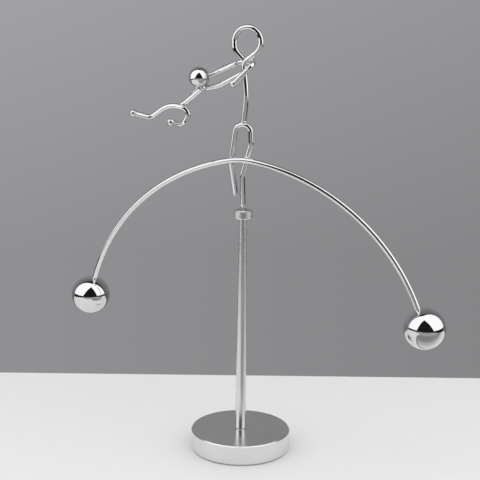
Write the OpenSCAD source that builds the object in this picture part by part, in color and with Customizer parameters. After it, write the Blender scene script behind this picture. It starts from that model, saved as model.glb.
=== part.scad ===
// Balancing toy: two bent-wire gymnasts on a weighted bow, poised on one point.
// Origin: centre of the base's underside. +Z is up, the bow lies along X, and -Y is the front.
// The figures, the bow and the weights are drawn in the figure's own upright frame, whose origin
// is the pivot, and are then leaned forward together until they balance.

/* [Base] */
// Diameter of the round base
base_d = 70; // [50:1:110]
// Height of the metal base disc
base_h = 13.5; // [9:0.5:24]
// Chamfer round the base's two edges
base_chamfer = 0.6; // [0.2:0.1:1.5]
// Thickness of the soft pad under the base
pad_h = 0.5; // [0.5:0.1:3]
// How far the pad's edge is set back from the base's edge
pad_inset = 3; // [0.5:0.5:8]

/* [Post] */
// Diameter of the post at the base
post_bottom_d = 7.6; // [6:0.1:12]
// Diameter of the post under the cup
post_top_d = 5.4; // [4.6:0.1:9]
// Visible length of the post
post_len = 152; // [100:1:220]
// Chamfer round the post's foot, where it meets the base
post_foot_chamfer = 0.6; // [0.2:0.1:1]
// Depth of the post's seat in the base
post_seat_h = 3; // [1.5:0.5:5]

/* [Post screw] */
// Shank diameter of the screw that holds the post from below
screw_d = 4; // [3:0.1:4.5]
// Length of the screw's thread in the post
screw_reach = 9; // [5:0.5:20]
// Diameter of the screw's head
screw_head_d = 7; // [6:0.1:9]
// Height of the screw's head
screw_head_h = 2.6; // [1.5:0.1:3.5]
// Width of the slot across the screw's head
screw_slot_w = 1; // [0.6:0.1:1.4]
// Outer diameter of the washer under the head
washer_d = 10; // [9.5:0.1:14]
// Thickness of the washer
washer_h = 1; // [0.5:0.1:1.5]
// Radial clearance of the screw in the base and the washer
screw_clearance = 0.25; // [0.1:0.05:0.5]

/* [Pivot] */
// Outer diameter of the cup on the post
cup_d = 13.2; // [11:0.1:18]
// Height of the cup
cup_h = 6; // [5.5:0.1:9]
// Chamfer round the cup's two edges
cup_chamfer = 0.8; // [0.2:0.1:0.9]
// Depth of the post's spigot in the cup
spigot_h = 2.5; // [1.5:0.1:2.8]
// Diameter of the post's spigot
spigot_d = 4; // [3:0.1:4.4]
// Diameter of the hard seat that lies in the cup
seat_d = 8; // [6:0.1:8.4]
// Thickness of the seat at its edge
seat_h = 1.6; // [1.5:0.1:2.2]
// Radius of the hollow in the seat
seat_dish_r = 6; // [5.5:0.1:12]
// Depth of the hollow in the seat
seat_dish_h = 0.8; // [0.5:0.05:1]
// Diameter of the ball at the peg's tip
ball_d = 1.9; // [1.7:0.1:2.4]
// Diameter of the peg's tip
tip_d = 2.6; // [2.5:0.1:3.2]
// Length of the cone between the tip and the full wire
tip_cone_h = 5; // [3:0.5:8]
// Running clearance of the seat in the cup and of the ball in the peg
running_clearance = 0.03; // [0.02:0.01:0.08]

/* [Wire] */
// Diameter of the wire of both figures
wire_d = 3.7; // [2.4:0.1:3.8]
// Diameter of the wire of the bow
bow_wire_d = 3.9; // [2.8:0.1:5]
// Gap between two wires that are soldered side by side
solder_gap = 0.1; // [0.05:0.01:0.3]
// Chamfer of a cut wire end
wire_chamfer = 0.3; // [0.1:0.05:0.6]

/* [Bow and weights] */
// Height of the bow's crown above the pivot
bow_crown_z = 36.3; // [34:0.1:40]
// Sideways shift of the bow's crown, which balances the hanging figure
bow_shift = 0.1; // [-3:0.1:6]
// Radius of the bow's crown
crown_r = 50; // [40:1:90]
// Angles of the crown's left and right part
left_crown_angle = 10.5; // [6:0.5:14]
right_crown_angle = 9.5; // [6:0.5:14]
// Radii of the bow's left and right side
left_side_r = 139; // [122:0.5:160]
right_side_r = 146.5; // [122:0.5:165]
// Angles of the bow's left and right side
left_side_angle = 61; // [45:0.5:65]
right_side_angle = 60; // [45:0.5:65]
// Diameter of each weight
weight_d = 28; // [20:0.5:40]
// Depth of the bow's end in a weight
weight_bore_h = 9; // [5:0.5:9.5]
// Radial clearance of the bow's end in a weight
weight_clearance = 0.05; // [0.02:0.01:0.2]

/* [Standing figure] */
// Forward lean of the poised figure
figure_lean = 6; // [0:0.1:12]
// Height of the hips above the pivot
hip_z = 59.5; // [56:0.1:66]
// Half of the distance between the legs at the hips
hip_half_w = 5.1; // [5:0.1:8]
// Height of the neck above the hips
torso_len = 41.3; // [39:0.1:46]
// Radius of the head's ring at the middle of the wire
ring_r = 9.15; // [7.5:0.05:10.5]
// Length of the straight from the neck to the ring
ring_lead = 10.4; // [9:0.1:14]
// Length of the ring's tail, back to the neck
ring_tail = 8.4; // [5:0.1:8.5]
// Length of the near arm
near_arm_len = 18.6; // [16:0.1:26]
// Length of the far upper arm
far_upper_arm = 9.4; // [7:0.1:10]
// Length of the far forearm
far_forearm = 11.6; // [6:0.1:16]

/* [Flying figure] */
// Diameter of the ball head
head_d = 13.6; // [11:0.1:13.8]
// Depth of the neck in the ball head
head_bore_h = 4; // [2:0.5:5]
// Length of the torso
flyer_torso_len = 15.5; // [12:0.1:15.9]
// Length of the stud from the torso to the neck's bend
stud_len = 8.1; // [6:0.1:9]
// Length of the near upper arm
flyer_upper_arm = 12.2; // [10:0.1:16]
// Length of the near forearm
flyer_forearm = 20.3; // [14:0.1:21]
// Length of the far arm
flyer_far_arm = 22.2; // [14:0.1:23]
// Length of the raised thigh
thigh_len = 16.8; // [14:0.1:24]
// Length of the wire's stretch across the hips
seat_len = 16; // [15:0.1:18]
// Length of the folded thigh
fold_len = 12.2; // [11:0.1:17]
// Lengths of the raised and the folded shin, as seen from the front
raised_shin = 9.9; // [6:0.1:16]
folded_shin = 5.9; // [5:0.1:12]
// How far the raised and the folded foot come forward
raised_foot_out = 8.5; // [4:0.1:14]
folded_foot_out = 12; // [6:0.1:14]

/* [Hidden] */
$fn = 64;

chrome = [0.80, 0.81, 0.83];
satin = [0.72, 0.73, 0.74];
steel = [0.55, 0.56, 0.58];
foam = [0.12, 0.12, 0.13];

// How far a cut runs past the face that it opens, and how far an end stops short of its hole's floor
cut_over = 1;
end_play = 0.02;

// Heights of the stand, from the pad up
base_top = pad_h + base_h;
cup_bottom = base_top + post_len;
cup_top = cup_bottom + cup_h;
cup_rim_w = 0.5;
seat_recess = 1;
seat_top = cup_top - seat_recess;
seat_bottom = seat_top - seat_h;
pivot_z = seat_top - seat_dish_h + running_clearance + ball_d / 2;
counterbore_play = 0.5;
head_sink = 0.4;
counterbore_d = washer_d + 2 * counterbore_play;
counterbore_top = pad_h + head_sink + screw_head_h + washer_h;
post_foot = base_top - post_seat_h;
screw_len = washer_h + post_foot - counterbore_top + screw_reach;

// Bands where two stretches of one wire meet
band_len = 0.3;
band_rise = 0.01;

// Depths of the wires' layers in front of (-) or behind (+) the standing figure's legs
layer = wire_d + solder_gap;
bow_depth = -(wire_d / 2 + solder_gap + bow_wire_d / 2);
flyer_near = -layer;
flyer_far = layer;
near_arm = -2 * layer;
far_arm = 2 * layer;
flyer_front = -2 * layer;

// Each side of the bow is drawn to the right, in the bow's own plane, from the middle of the crown:
// angle of the crown's part, radius of the side, angle of the side
left_side = [left_crown_angle, left_side_r, left_side_angle];
right_side = [right_crown_angle, right_side_r, right_side_angle];
crown_centre = [0, 0, -crown_r];
bow_tang = 0.5;

// Peg and legs of the standing figure, in its own frame
socket_lip = 0.1;
peg_len = 25;
hip_x = 1.5;
hip_flat = 0.4;
hip_bend = hip_half_w - hip_flat;
knee_bend = 9;
right_knee_out = 1.6;
right_knee_drop = 13;
left_knee_out = 2.9;
left_knee_drop = 26.2;
left_foot_x = -6.4;
left_foot_z = 11;
left_foot_back = 3;
right_knee = [hip_half_w + right_knee_out, 0, hip_z - right_knee_drop];
left_knee = [-hip_half_w - left_knee_out, 0, hip_z - left_knee_drop];
left_foot = [left_foot_x, left_foot_back, left_foot_z];

// Torso and ring head of the standing figure
torso_gap = 0.35;
torso_foot_x = 1.7;
torso_back_x = 4.2;
torso_back_rise = 19;
torso_bend = 60;
neck_x = 2.7;
neck_bend = 5;
neck_slope = 36;
ring_drop = 5.3;
ring_bend = 9;
tail_slope = -47;
torso_foot = [torso_foot_x, 0, hip_z + wire_d / 2 + torso_gap];
torso_back = [torso_back_x, 0, hip_z + torso_back_rise];
neck = [neck_x, 0, hip_z + torso_len];
ring_start = neck + ring_lead * polar(neck_slope);
ring_centre = ring_start + ring_r * polar(neck_slope + 90);
ring_left = ring_centre - ring_r * polar(0);
ring_turn = ring_left + ring_drop * polar(-90);

// Arms of the standing figure, from their shoulders
arm_bend = 3.4;
far_elbow_bend = 15;
near_shoulder_out = 8.8;
near_shoulder_drop = 0.5;
far_shoulder_out = 3.7;
far_shoulder_drop = 0.1;
near_arm_slope = 42.5;
far_upper_arm_slope = 5;
far_forearm_slope = 20.1;
near_shoulder = neck + [near_shoulder_out, near_arm, -near_shoulder_drop];
far_shoulder = neck + [far_shoulder_out, far_arm, -far_shoulder_drop];
far_elbow = far_shoulder - far_upper_arm * polar(far_upper_arm_slope);

// Spine of the flying figure, which its neck and shoulders are placed along (up) and off (out)
flyer_hip_x = -36.6;
flyer_hip_rise = 14.85;
flyer_slope = 38.3;
flyer_hip = [flyer_hip_x, 0, hip_z + flyer_hip_rise];
torso_low = 0.9;
torso_high = flyer_torso_len - torso_low;
head_up = 19.15;
head_out = 7;
head_forward = 0.6;
head_centre = on_spine(head_up, head_out, flyer_front - head_forward);
stud_up = 10.6;
stud_out = 1.85;
stud_slope = 48.6;
stud_bend = 4;
stud_top = on_spine(stud_up, stud_out, flyer_near);
head_way = along(head_centre, stud_top);
stud_end = head_centre + (head_d / 2 - head_bore_h) * head_way;

// Arms of the flying figure
shoulder_near_up = 14.5;
shoulder_far_up = 19.2;
shoulder_far_out = 5.1;
flyer_elbow_bend = 15;
flyer_upper_arm_slope = 11.2;
flyer_forearm_slope = 27.3;
flyer_far_arm_slope = 24.1;
shoulder_near = on_spine(shoulder_near_up, 0, flyer_near);
shoulder_far = on_spine(shoulder_far_up, shoulder_far_out, flyer_far);
flyer_elbow = shoulder_near + flyer_upper_arm * polar(flyer_upper_arm_slope);

// Legs of the flying figure, from the top of the raised thigh's arch
arch_back = 12;
arch_drop = 1.4;
arch_bend = 16;
seat_bend = 4.5;
shin_bend = 4;
thigh_slope = 34.4;
seat_slope = -10.8;
fold_slope = -116.4;
raised_shin_slope = 154.6;
folded_shin_slope = 136.7;
arch = flyer_hip + [-arch_back, flyer_front, -arch_drop];
raised_knee = arch - thigh_len * polar(thigh_slope);
raised_foot = raised_knee + raised_shin * polar(raised_shin_slope) + [0, -raised_foot_out, 0];
seat_corner = arch + seat_len * polar(seat_slope);
folded_knee = seat_corner + fold_len * polar(fold_slope);
folded_foot = folded_knee + folded_shin * polar(folded_shin_slope) + [0, -folded_foot_out, 0];

// Direction in the X-Z plane at an angle from +X towards +Z
function polar(angle) = [cos(angle), 0, sin(angle)];
// Point beside the flying figure's spine, at a depth
function on_spine(up, out, depth) =
    flyer_hip + up * polar(flyer_slope) + out * polar(flyer_slope + 90) + [0, depth, 0];
// Middle of a side's arc, the arc's end and the direction of the bow there
function side_centre(side) = crown_centre - (side[1] - crown_r) * polar(90 - side[0]);
function bow_tip(side) = side_centre(side) + side[1] * polar(90 - side[0] - side[2]);
function bow_way(side) = polar(-side[0] - side[2]);
function unit(v) = v / norm(v);
function along(p, q) = unit(q - p);
function turn(p, q, r) = acos(max(-1, min(1, along(p, q) * along(q, r))));
// Length that a bend takes from each of the two straights that meet at a corner
function bend_cut(path, bends, i) =
    i == 0 || i == len(path) - 1 ? 0
    : bends[i - 1] * tan(turn(path[i - 1], path[i], path[i + 1]) / 2);
// Rigid placing that puts local X, Y and Z on three unit vectors, at a point
function placing(x, y, z, at) = [
    [x[0], y[0], z[0], at[0]],
    [x[1], y[1], z[1], at[1]],
    [x[2], y[2], z[2], at[2]],
    [0, 0, 0, 1]
];
// Any unit vector square to a direction
function square_to(v) = unit(cross(v, abs(v[2]) < 0.9 ? [0, 0, 1] : [1, 0, 0]));

// Straight rod with its two ends chamfered by their own amounts
module rod(from, to, d, first_chamfer = 0, last_chamfer = 0) {
    z = along(from, to);
    x = square_to(z);
    r = d / 2;
    length = norm(to - from);
    multmatrix(placing(x, cross(z, x), z, from)) rotate_extrude() polygon(concat(
        [[0, 0], [r - first_chamfer, 0]],
        first_chamfer > 0 ? [[r, first_chamfer]] : [],
        last_chamfer > 0 ? [[r, length - last_chamfer]] : [],
        [[r - last_chamfer, length], [0, length]]
    ));
}

// Short band, a hair thicker than the wire, that makes two stretches one solid where they meet
module band(at, direction, d) {
    reach = direction * band_len / 2;
    rod(at - reach, at + reach, d + 2 * band_rise);
}

module bend(before, corner, after, radius, d) {
    a = along(before, corner);
    b = along(corner, after);
    n = unit(b - a * (a * b));
    angle = turn(before, corner, after);
    cut = radius * tan(angle / 2);
    start = corner - a * cut;
    multmatrix(placing(-n, a, cross(-n, a), start + n * radius))
        rotate_extrude(angle = angle) translate([radius, 0]) circle(d = d);
    band(start, a, d);
    band(corner + b * cut, b, d);
}

// Round wire along straight stretches with a bend of its own radius at each inner corner
module wire(path, bends, d, first_chamfer = wire_chamfer, last_chamfer = wire_chamfer) {
    last = len(path) - 1;
    for (i = [0:last - 1]) {
        way = along(path[i], path[i + 1]);
        rod(path[i] + way * bend_cut(path, bends, i),
            path[i + 1] - way * bend_cut(path, bends, i + 1), d,
            i == 0 ? first_chamfer : 0, i == last - 1 ? last_chamfer : 0);
    }
    for (i = [1:1:last - 1]) {
        bend(path[i - 1], path[i], path[i + 1], bends[i - 1], d);
    }
}

// From the figure's own frame to the toy's frame
module poised() {
    translate([0, 0, pivot_z]) rotate([figure_lean, 0, 0]) children();
}

module chamfered_disc(d, h, c) {
    rotate_extrude()
        polygon([[0, 0], [d / 2 - c, 0], [d / 2, c], [d / 2, h - c], [d / 2 - c, h], [0, h]]);
}

module base_disc() {
    color(satin) difference() {
        translate([0, 0, pad_h]) chamfered_disc(base_d, base_h, base_chamfer);
        translate([0, 0, post_foot]) cylinder(d = post_bottom_d, h = post_seat_h + cut_over);
        cylinder(d = counterbore_d, h = counterbore_top);
        cylinder(d = screw_d + 2 * screw_clearance, h = base_top);
    }
}

module base_pad() {
    color(foam) cylinder(d = base_d - 2 * pad_inset, h = pad_h);
}

module post() {
    color(chrome) difference() {
        union() {
            translate([0, 0, post_foot]) cylinder(d = post_bottom_d, h = post_seat_h);
            translate([0, 0, base_top]) cylinder(
                d1 = post_bottom_d - 2 * post_foot_chamfer, d2 = post_bottom_d, h = post_foot_chamfer
            );
            translate([0, 0, base_top + post_foot_chamfer])
                cylinder(d1 = post_bottom_d, d2 = post_top_d, h = post_len - post_foot_chamfer);
            translate([0, 0, cup_bottom]) cylinder(d = spigot_d, h = spigot_h);
        }
        translate([0, 0, post_foot - cut_over])
            cylinder(d = screw_d, h = screw_reach + cut_over);
    }
}

module post_screw() {
    head_bottom = counterbore_top - washer_h - screw_head_h;
    color(steel) difference() {
        union() {
            translate([0, 0, head_bottom]) cylinder(d = screw_head_d, h = screw_head_h);
            translate([0, 0, head_bottom + screw_head_h])
                cylinder(d = screw_d, h = screw_len - end_play);
        }
        translate([-screw_head_d, -screw_slot_w / 2, head_bottom - cut_over])
            cube([2 * screw_head_d, screw_slot_w, cut_over + screw_head_h / 2]);
    }
}

module post_washer() {
    color(steel) translate([0, 0, counterbore_top - washer_h]) difference() {
        cylinder(d = washer_d, h = washer_h);
        translate([0, 0, -cut_over])
            cylinder(d = screw_d + 2 * screw_clearance, h = washer_h + 2 * cut_over);
    }
}

module pivot_cup() {
    mouth_d = cup_d - 2 * (cup_chamfer + cup_rim_w);
    pocket_d = seat_d + 2 * running_clearance;
    color(chrome) difference() {
        translate([0, 0, cup_bottom]) chamfered_disc(cup_d, cup_h, cup_chamfer);
        translate([0, 0, cup_bottom - cut_over])
            cylinder(d = spigot_d, h = spigot_h + cut_over);
        translate([0, 0, seat_bottom]) cylinder(d = pocket_d, h = cup_h);
        translate([0, 0, seat_top]) cylinder(d1 = pocket_d, d2 = mouth_d, h = seat_recess);
    }
}

module pivot_seat() {
    color(steel) difference() {
        translate([0, 0, seat_bottom]) cylinder(d = seat_d, h = seat_h);
        translate([0, 0, seat_top - seat_dish_h + seat_dish_r]) sphere(r = seat_dish_r);
    }
}

module pivot_ball() {
    color(steel) translate([0, 0, pivot_z]) sphere(d = ball_d);
}

module stander_legs() {
    peg_end = [0, 0, tip_cone_h];
    path = [
        left_foot, left_knee, [hip_x - hip_half_w, 0, hip_z], [hip_x + hip_half_w, 0, hip_z],
        right_knee, [0, 0, peg_len], peg_end
    ];
    color(chrome) poised() difference() {
        union() {
            wire(path, [knee_bend, hip_bend, hip_bend, knee_bend, knee_bend], wire_d,
                last_chamfer = 0);
            band(peg_end, [0, 0, 1], wire_d);
            translate([0, 0, -socket_lip])
                cylinder(d1 = tip_d, d2 = wire_d, h = tip_cone_h + socket_lip);
        }
        sphere(r = ball_d / 2 + running_clearance);
    }
}

module stander_body() {
    tail_end = ring_turn + ring_tail * polar(tail_slope);
    color(chrome) poised() {
        wire([torso_foot, torso_back, neck, ring_start], [torso_bend, neck_bend], wire_d,
            last_chamfer = 0);
        band(ring_start, polar(neck_slope), wire_d);
        translate(ring_centre) rotate([90, 0, 0]) rotate([0, 0, neck_slope - 90])
            rotate_extrude(angle = 270 - neck_slope)
                translate([ring_r, 0]) circle(d = wire_d);
        band(ring_left, polar(-90), wire_d);
        wire([ring_left, ring_turn, tail_end], [ring_bend], wire_d, first_chamfer = 0);
    }
}

module stander_arms() {
    path = [
        far_elbow - far_forearm * polar(far_forearm_slope), far_elbow, far_shoulder,
        near_shoulder, near_shoulder - near_arm_len * polar(near_arm_slope)
    ];
    color(chrome) poised() wire(path, [far_elbow_bend, arm_bend, arm_bend], wire_d);
}

module flyer_arms() {
    path = [
        flyer_elbow + flyer_forearm * polar(flyer_forearm_slope), flyer_elbow, shoulder_near,
        shoulder_far, shoulder_far + flyer_far_arm * polar(flyer_far_arm_slope)
    ];
    color(chrome) poised() wire(path, [flyer_elbow_bend, arm_bend, arm_bend], wire_d);
}

module flyer_torso() {
    color(chrome) poised() wire(
        [on_spine(-torso_low, 0, flyer_front), on_spine(torso_high, 0, flyer_front)], [], wire_d
    );
}

module flyer_neck() {
    color(chrome) poised()
        wire([stud_top - stud_len * polar(stud_slope), stud_top, stud_end], [stud_bend], wire_d);
}

module flyer_legs() {
    path = [raised_foot, raised_knee, arch, seat_corner, folded_knee, folded_foot];
    color(chrome) poised()
        wire(path, [shin_bend, arch_bend, seat_bend, shin_bend], wire_d);
}

module flyer_head() {
    color(chrome) poised() difference() {
        translate(head_centre) sphere(d = head_d);
        rod(stud_end, stud_end + (head_bore_h + cut_over) * head_way,
            wire_d + 2 * weight_clearance);
    }
}

module bow_arc(radius, from_angle, angle, centre) {
    translate(centre) rotate([90, 0, 0]) rotate([0, 0, 90 - from_angle - angle])
        rotate_extrude(angle = angle) translate([radius, 0]) circle(d = bow_wire_d);
}

module bow_half(side) {
    tip = bow_tip(side);
    way = bow_way(side);
    band(crown_centre + crown_r * polar(90 - side[0]), polar(-side[0]), bow_wire_d);
    bow_arc(side[1], side[0], side[2], side_centre(side));
    band(tip, way, bow_wire_d);
    rod(tip, tip + (bow_tang + weight_bore_h - end_play) * way, bow_wire_d);
}

// From the bow's own plane, with the crown's middle at its origin, to the toy's frame
module on_bow() {
    poised() translate([bow_shift, bow_depth, bow_crown_z]) children();
}

module bow() {
    color(chrome) on_bow() {
        bow_arc(crown_r, -left_crown_angle, left_crown_angle + right_crown_angle, crown_centre);
        bow_half(right_side);
        mirror([1, 0, 0]) bow_half(left_side);
    }
}

module weight(side) {
    way = bow_way(side);
    mouth = bow_tip(side) + bow_tang * way;
    color(chrome) difference() {
        translate(mouth + weight_d / 2 * way) sphere(d = weight_d);
        rod(mouth - cut_over * way, mouth + weight_bore_h * way, bow_wire_d + 2 * weight_clearance);
    }
}

module weight_left() {
    on_bow() mirror([1, 0, 0]) weight(left_side);
}

module weight_right() {
    on_bow() weight(right_side);
}

base_disc();
base_pad();
post();
post_screw();
post_washer();
pivot_cup();
pivot_seat();
pivot_ball();
stander_legs();
stander_body();
stander_arms();
flyer_arms();
flyer_torso();
flyer_neck();
flyer_legs();
flyer_head();
bow();
weight_left();
weight_right();
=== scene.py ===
"""Chromed balancing toy on its post: finish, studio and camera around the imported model."""
import math
import bmesh
import bpy
from mathutils import Matrix, Vector
from mathutils import noise as solid_noise


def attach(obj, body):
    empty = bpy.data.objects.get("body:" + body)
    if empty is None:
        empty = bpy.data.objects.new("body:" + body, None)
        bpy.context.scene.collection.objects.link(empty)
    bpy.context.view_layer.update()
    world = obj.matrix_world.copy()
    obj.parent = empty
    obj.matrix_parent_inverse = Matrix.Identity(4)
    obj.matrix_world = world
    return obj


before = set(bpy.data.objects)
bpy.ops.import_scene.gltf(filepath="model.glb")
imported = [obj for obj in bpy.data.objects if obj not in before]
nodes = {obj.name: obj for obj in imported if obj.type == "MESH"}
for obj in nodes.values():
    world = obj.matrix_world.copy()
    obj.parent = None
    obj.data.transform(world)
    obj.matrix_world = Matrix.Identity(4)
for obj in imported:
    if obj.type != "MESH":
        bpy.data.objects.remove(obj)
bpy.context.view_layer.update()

# Camera, from the photograph: metres and degrees in the part's frame
CAMERA_AT = Vector((0.2112, -0.6161, 0.2761))
CAMERA_HEADING = 19.09
CAMERA_PITCH = 10.89
CAMERA_ROLL = 0.69
PHOTO_WIDTH = 480
FOCAL_PIXELS = 961.5
SENSOR_WIDTH = 36.0

# Studio, in metres: right as the camera sees it, and forward towards the camera
TABLE_BACK = 0.155
TABLE_FRONT = 0.32
TABLE_SIDE = 0.62
TABLE_GREY = 0.86
TABLE_GRAIN = 0.01
MATT = 0.6

# Floor that the reflections show: places are right and forward, and the painted shade's grey is given
# near and far: it darkens the floor from pale just ahead to dark a little further on, and the floor
# then rises to its own grey near the table's front; a painted shadow strip lies along the table's
# slanting edge
FLOOR_FRONT = 0.95
FLOOR_CORNER = (-0.03, 0.1666)
FLOOR_FAR = (0.262, -0.15)
FLOOR_UP = 0.0005
FLOOR_GREY = 0.42
FLOOR_FADE = 0.1
PAINTED_SHADE_REACH = (0.0, 0.12)
PAINTED_SHADE_GREY = (0.86, 0.25)
EDGE_WIDTH = 0.010
EDGE_SHADOW_GREY = 0.12

# Tent: heights of the ridge and the feet, and how far back and forward each reaches
TENT_RIDGE = 0.78
TENT_FOOT = 0.10
TENT_HALF_WIDTH = 0.62
RIDGE_REACH = (0.07, 0.40)
FOOT_REACH = (-0.16, 0.64)
PANEL_GLOW = 1.25

# Backdrop: its grey from low to high and from left to right, by the direction of view; it is lighter
# high up and on the left as painted light falloff
BACKDROP_TINT = (1.0, 1.0, 1.03)
BACKDROP_LOW = 0.262
BACKDROP_HIGH = 0.335
BACKDROP_RISE = (-0.20, 0.06)
BACKDROP_SIDES = (1.08, 0.90)
BACKDROP_SPAN = 0.25
# In reflections the wall ends this many degrees from straight back, and darkens towards there as
# painted shade
WALL_EDGE = 80.0
WALL_BLUR = 0.05
WALL_SHADE = (0.42, 0.85)
ROOM_GREY = 0.012
AMBIENT = 0.82

# Lowest and highest tone of each metal and of the pad
CHROME_TONES = ((0.74, 0.745, 0.755, 1.0), (0.78, 0.785, 0.79, 1.0))
SATIN_TONES = ((0.77, 0.77, 0.765, 1.0), (0.83, 0.83, 0.825, 1.0))
GROUND_TONES = ((0.48, 0.49, 0.50, 1.0), (0.58, 0.59, 0.60, 1.0))
FOAM_TONES = ((0.018, 0.018, 0.02, 1.0), (0.06, 0.06, 0.065, 1.0))

# The poised figure's own upright frame, in millimetres from the pivot
MILLIMETRES_PER_METRE = 1000.0
PIVOT_UP = 171.18
FIGURE_LEAN = 6.0
# Middle and radii of the rounded, plated wire ends and of the solder where the wires meet
WIRE_ENDS = (
    ((-71.4, -16.1, 67.7), (2.5, 2.4, 2.4)),
    ((-42.6, -19.6, 63.1), (2.7, 2.6, 2.6)),
    ((-2.2, -7.6, 87.7), (2.5, 2.3, 2.5)),
    ((-13.9, 7.6, 95.9), (2.0, 2.0, 2.0)),
    ((4.8, -3.8, 95.0), (2.0, 2.0, 2.0)),
    ((-4.4, 3.8, 99.3), (2.1, 2.1, 2.1)),
    ((-6.4, 3.0, 11.0), (2.0, 2.0, 1.8)),
)
SOLDER = (
    ((-37.9, -7.8, 73.4), (2.5, 2.1, 2.0)),
    ((-24.2, -5.8, 84.2), (2.2, 2.6, 2.0)),
    ((-7.6, -2.0, 36.0), (2.0, 1.2, 2.1)),
    ((3.4, -2.0, 36.2), (2.2, 1.3, 2.4)),
    ((1.7, 0.0, 61.5), (2.4, 2.1, 1.1)),
    ((7.7, 0.0, 102.1), (1.7, 1.7, 1.6)),
    ((5.0, -5.7, 95.1), (1.8, 1.5, 1.7)),
    ((-9.6, 5.7, 97.2), (4.0, 1.2, 1.7)),
)
LUMP_UNEVEN = 0.12
LUMP_DETAIL = 1.4


def new_material(name, kind="ShaderNodeBsdfPrincipled"):
    material = bpy.data.materials.new(name)
    material.use_nodes = True
    tree = material.node_tree
    tree.nodes.clear()
    output = tree.nodes.new("ShaderNodeOutputMaterial")
    shader = tree.nodes.new(kind)
    tree.links.new(shader.outputs[0], output.inputs["Surface"])
    return material, tree, shader


def grey(level):
    return (level, level, level, 1.0)


def feed(tree, socket, source):
    """Link a socket to another node's output, or set it to a value."""
    if isinstance(source, bpy.types.NodeSocket):
        tree.links.new(source, socket)
    else:
        socket.default_value = source


def object_coordinates(tree):
    return tree.nodes.new("ShaderNodeTexCoord").outputs["Object"]


def noise(tree, vector, scale, detail=3.0, roughness=0.5):
    node = tree.nodes.new("ShaderNodeTexNoise")
    feed(tree, node.inputs["Vector"], vector)
    feed(tree, node.inputs["Scale"], scale)
    feed(tree, node.inputs["Detail"], detail)
    feed(tree, node.inputs["Roughness"], roughness)
    return node.outputs["Fac"]


def remap(tree, value, low, high, from_low=0.3, from_high=0.7):
    node = tree.nodes.new("ShaderNodeMapRange")
    feed(tree, node.inputs["Value"], value)
    feed(tree, node.inputs["From Min"], from_low)
    feed(tree, node.inputs["From Max"], from_high)
    feed(tree, node.inputs["To Min"], low)
    feed(tree, node.inputs["To Max"], high)
    return node.outputs["Result"]


def mixed_colour(tree, factor, first, second):
    node = tree.nodes.new("ShaderNodeMix")
    node.data_type = "RGBA"
    feed(tree, node.inputs["Factor"], factor)
    feed(tree, node.inputs["A"], first)
    feed(tree, node.inputs["B"], second)
    return node.outputs["Result"]


def combined(tree, operation, first, second):
    node = tree.nodes.new("ShaderNodeMath")
    node.operation = operation
    feed(tree, node.inputs[0], first)
    feed(tree, node.inputs[1], second)
    return node.outputs["Value"]


def scaled(tree, vector, factor):
    node = tree.nodes.new("ShaderNodeVectorMath")
    node.operation = "SCALE"
    feed(tree, node.inputs[0], vector)
    feed(tree, node.inputs["Scale"], factor)
    return node.outputs["Vector"]


def facing(tree, vector, direction):
    """How far a vector reaches along a direction of length 1."""
    node = tree.nodes.new("ShaderNodeVectorMath")
    node.operation = "DOT_PRODUCT"
    feed(tree, node.inputs[0], vector)
    feed(tree, node.inputs[1], direction)
    return node.outputs["Value"]


def stretched(tree, vector, scale):
    node = tree.nodes.new("ShaderNodeMapping")
    feed(tree, node.inputs["Vector"], vector)
    feed(tree, node.inputs["Scale"], scale)
    return node.outputs["Vector"]


def bump(tree, shader, height, distance, strength):
    node = tree.nodes.new("ShaderNodeBump")
    feed(tree, node.inputs["Height"], height)
    feed(tree, node.inputs["Distance"], distance)
    feed(tree, node.inputs["Strength"], strength)
    feed(tree, shader.inputs["Normal"], node.outputs["Normal"])


def metal(tree, shader, tone, roughness):
    feed(tree, shader.inputs["Base Color"], tone)
    feed(tree, shader.inputs["Roughness"], roughness)
    feed(tree, shader.inputs["Metallic"], 1.0)


def chrome(name, wave, gloss=(0.02, 0.05)):
    """Polished plate: a faint cloud in its tone, a fine grain in its gloss, and slow, buffed waves."""
    material, tree, shader = new_material(name)
    where = object_coordinates(tree)
    cloud = noise(tree, where, scale=60.0)
    fine = noise(tree, where, scale=900.0, detail=5.0)
    tone = mixed_colour(tree, remap(tree, cloud, 0.0, 1.0), *CHROME_TONES)
    metal(tree, shader, tone, remap(tree, fine, *gloss))
    bump(tree, shader, cloud, distance=0.0004, strength=wave)
    return material


def satin(name, tones, gloss, stretch):
    """Satin steel: fine lines along one direction in its tone and relief, and a cloud in its gloss."""
    material, tree, shader = new_material(name)
    where = object_coordinates(tree)
    lines = noise(tree, stretched(tree, where, stretch), scale=1.0, detail=4.0, roughness=0.6)
    cloud = noise(tree, where, scale=35.0)
    tone = mixed_colour(tree, remap(tree, lines, 0.0, 1.0), *tones)
    metal(tree, shader, tone, remap(tree, cloud, *gloss))
    bump(tree, shader, lines, distance=0.00004, strength=0.35)
    return material


def foam(name):
    """Matt foam rubber with fine cells in its tone and relief."""
    material, tree, shader = new_material(name)
    cells = noise(tree, object_coordinates(tree), scale=1400.0, detail=4.0)
    feed(tree, shader.inputs["Base Color"], mixed_colour(tree, cells, *FOAM_TONES))
    feed(tree, shader.inputs["Roughness"], 0.85)
    bump(tree, shader, cells, distance=0.0002, strength=0.6)
    return material


def dress(material, *names):
    for name in names:
        mesh = nodes[name].data
        mesh.materials.clear()
        mesh.materials.append(material)


def on_figure(point):
    """Point of the part's frame, in metres, from the leaning figure's own frame."""
    lean = Matrix.Rotation(math.radians(FIGURE_LEAN), 3, "X")
    return (lean @ Vector(point) + Vector((0.0, 0.0, PIVOT_UP))) / MILLIMETRES_PER_METRE


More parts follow.
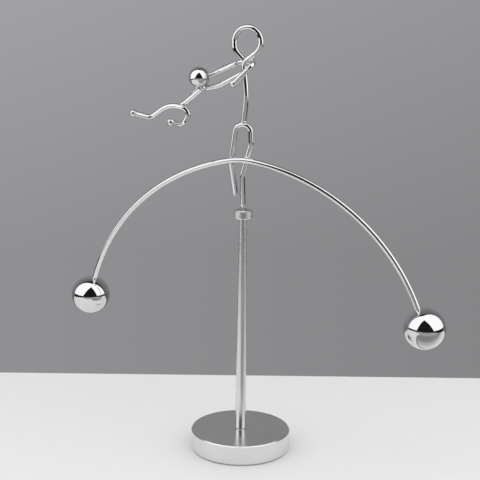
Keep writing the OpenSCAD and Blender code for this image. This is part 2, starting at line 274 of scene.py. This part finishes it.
def lumps(name, places, material):
    """Slightly uneven rounded lumps of plated metal, in one piece that moves with the figure."""
    mesh = bpy.data.meshes.new(name)
    shape = bmesh.new()
    for middle, radii in places:
        made = bmesh.ops.create_icosphere(shape, subdivisions=3, radius=1.0)
        for vertex in made["verts"]:
            swell = 1.0 + LUMP_UNEVEN * solid_noise.noise(vertex.co * LUMP_DETAIL + Vector(middle))
            offset = Vector(reach * part for reach, part in zip(radii, vertex.co * swell))
            vertex.co = on_figure(Vector(middle) + offset)
    for face in shape.faces:
        face.smooth = True
    shape.to_mesh(mesh)
    shape.free()
    mesh.materials.append(material)
    piece = bpy.data.objects.new(name, mesh)
    bpy.context.scene.collection.objects.link(piece)
    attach(piece, "figure")


def make_camera():
    data = bpy.data.cameras.new("photo_camera")
    data.sensor_fit = "HORIZONTAL"
    data.sensor_width = SENSOR_WIDTH
    data.lens = SENSOR_WIDTH * FOCAL_PIXELS / PHOTO_WIDTH
    camera = bpy.data.objects.new("photo_camera", data)
    bpy.context.scene.collection.objects.link(camera)
    heading = Matrix.Rotation(math.radians(CAMERA_HEADING), 4, "Z")
    pitch = Matrix.Rotation(math.radians(90.0 - CAMERA_PITCH), 4, "X")
    roll = Matrix.Rotation(math.radians(CAMERA_ROLL), 4, "Z")
    camera.matrix_world = Matrix.Translation(CAMERA_AT) @ heading @ pitch @ roll
    bpy.context.scene.camera = camera


def in_studio(right, forward, up):
    """Point of the part's frame from the studio's own axes, which are square to the camera."""
    turn = Matrix.Rotation(math.radians(CAMERA_HEADING), 3, "Z")
    return turn @ Vector((right, -forward, up))


def stage_sheet(name, corners, material):
    mesh = bpy.data.meshes.new(name)
    mesh.from_pydata([in_studio(*corner) for corner in corners], [], [range(len(corners))])
    mesh.materials.append(material)
    sheet = bpy.data.objects.new(name, mesh)
    bpy.context.scene.collection.objects.link(sheet)
    return sheet


def level_sheet(back, front):
    """Corners of a level sheet at the table's height and of its width."""
    return [
        (-TABLE_SIDE, front, 0.0), (TABLE_SIDE, front, 0.0),
        (TABLE_SIDE, back, 0.0), (-TABLE_SIDE, back, 0.0),
    ]


def make_table():
    """Pale table top, square to the camera's view."""
    material, tree, shader = new_material("table_paint")
    grain = noise(tree, object_coordinates(tree), scale=90.0)
    tone = mixed_colour(tree, grain, grey(TABLE_GREY - TABLE_GRAIN), grey(TABLE_GREY + TABLE_GRAIN))
    feed(tree, shader.inputs["Base Color"], tone)
    feed(tree, shader.inputs["Roughness"], MATT)
    feed(tree, shader.inputs["Specular IOR Level"], 0.2)
    stage_sheet("table_top", level_sheet(-TABLE_BACK, TABLE_FRONT), material)


def make_floor():
    """Floor before the table and past its slanting edge, with painted shade on it and a dark strip of
    painted shadow along that edge. Only the reflections show it.
    """
    floor, tree, shader = new_material("floor_grey_and_painted_shade")
    forward = facing(tree, object_coordinates(tree), in_studio(0.0, 1.0, 0.0))
    # Painted shade: the floor darkens from pale to dark over the first reach ahead of the object
    near = remap(tree, forward, *PAINTED_SHADE_GREY, *PAINTED_SHADE_REACH)
    rise = FLOOR_GREY - PAINTED_SHADE_GREY[1]
    far = remap(tree, forward, 0.0, rise, TABLE_FRONT - FLOOR_FADE, TABLE_FRONT)
    feed(tree, shader.inputs["Base Color"], combined(tree, "ADD", near, far))
    feed(tree, shader.inputs["Roughness"], MATT)
    shadow, tree, shader = new_material("edge_shadow")
    feed(tree, shader.inputs["Base Color"], grey(EDGE_SHADOW_GREY))
    before = level_sheet(TABLE_FRONT, FLOOR_FRONT)
    beside = [
        (FLOOR_CORNER[0], TABLE_FRONT, FLOOR_UP), (TABLE_SIDE, TABLE_FRONT, FLOOR_UP),
        (TABLE_SIDE, FLOOR_FAR[1], FLOOR_UP), (*FLOOR_FAR, FLOOR_UP), (*FLOOR_CORNER, FLOOR_UP),
    ]
    # Painted shadow: a dark strip that shows a little to the left of the floor's slanting edge
    edge = [(right - EDGE_WIDTH, reach, up / 2.0) for right, reach, up in beside]
    for name, corners, material in (
        ("floor_before", before, floor), ("floor_beside", beside, floor), ("painted_edge_shadow", edge, shadow),
    ):
        sheet = stage_sheet(name, corners, material)
        sheet.visible_camera = False
        sheet.visible_diffuse = False
        sheet.visible_shadow = False


def make_tent():
    """Two glowing diffusers that lean together over the table, open to the front and the back."""
    material, tree, glow = new_material("diffuser", "ShaderNodeEmission")
    feed(tree, glow.inputs["Strength"], PANEL_GLOW)
    for name, side in (("left_diffuser", -1), ("right_diffuser", 1)):
        foot = side * TENT_HALF_WIDTH
        panel = stage_sheet(name, [
            (0.0, RIDGE_REACH[0], TENT_RIDGE), (0.0, RIDGE_REACH[1], TENT_RIDGE),
            (foot, FOOT_REACH[1], TENT_FOOT), (foot, FOOT_REACH[0], TENT_FOOT),
        ], material)
        panel.visible_camera = False


def make_world():
    """Grey backdrop, with painted light falloff, to the eye and, behind the object, in its
    reflections, where painted shade darkens it towards its edge; a dark room elsewhere.
    """
    world = bpy.data.worlds.new("studio")
    bpy.context.scene.world = world
    world.use_nodes = True
    tree = world.node_tree
    tree.nodes.clear()
    output = tree.nodes.new("ShaderNodeOutputWorld")
    path = tree.nodes.new("ShaderNodeLightPath")
    where = tree.nodes.new("ShaderNodeTexCoord").outputs["Generated"]
    away = facing(tree, where, in_studio(0.0, -1.0, 0.0))
    rise = facing(tree, where, in_studio(0.0, 0.0, 1.0))
    across = facing(tree, where, in_studio(1.0, 0.0, 0.0))
    # Painted light falloff: the backdrop is lighter upward and towards the left
    level = remap(tree, rise, BACKDROP_LOW, BACKDROP_HIGH, *BACKDROP_RISE)
    side = remap(tree, across, *BACKDROP_SIDES, -BACKDROP_SPAN, BACKDROP_SPAN)
    backdrop = scaled(tree, BACKDROP_TINT, combined(tree, "MULTIPLY", level, side))
    edge = math.cos(math.radians(WALL_EDGE))
    # Painted shade: the wall in reflections darkens from straight back towards its edge
    wall = scaled(tree, backdrop, remap(tree, away, *WALL_SHADE, edge, 1.0))
    behind = remap(tree, away, 0.0, 1.0, edge - WALL_BLUR, edge + WALL_BLUR)
    room = mixed_colour(tree, behind, grey(ROOM_GREY), wall)
    seen = mixed_colour(tree, path.outputs["Is Camera Ray"], room, backdrop)
    light = mixed_colour(tree, path.outputs["Is Diffuse Ray"], seen, grey(AMBIENT))
    background = tree.nodes.new("ShaderNodeBackground")
    feed(tree, background.inputs["Color"], light)
    feed(tree, output.inputs["Surface"], background.outputs["Background"])


make_camera()
make_world()
make_table()
make_floor()
make_tent()

dress(
    chrome("chrome_wire", wave=0.04),
    "stander_legs", "stander_body", "stander_arms", "flyer_arms", "flyer_torso", "flyer_neck",
    "flyer_legs", "bow",
)
dress(chrome("chrome_ball", wave=0.03), "weight_left", "weight_right", "flyer_head")
lumps("plated_wire_ends", WIRE_ENDS, chrome("chrome_end", wave=0.3, gloss=(0.18, 0.34)))
lumps("solder_joints", SOLDER, chrome("chrome_solder", wave=0.3, gloss=(0.10, 0.24)))
dress(satin("satin_base", SATIN_TONES, gloss=(0.16, 0.24), stretch=(60.0, 60.0, 9000.0)), "base_disc")
dress(satin("satin_post", SATIN_TONES, gloss=(0.26, 0.34), stretch=(3000.0, 3000.0, 12.0)), "post")
dress(satin("satin_cup", SATIN_TONES, gloss=(0.32, 0.40), stretch=(60.0, 60.0, 6000.0)), "pivot_cup")
dress(
    satin("ground_steel", GROUND_TONES, gloss=(0.2, 0.3), stretch=(400.0, 400.0, 400.0)),
    "pivot_seat", "pivot_ball", "post_screw", "post_washer",
)
dress(foam("pad_foam"), "base_pad")

bpy.context.scene.view_settings.view_transform = "Standard"
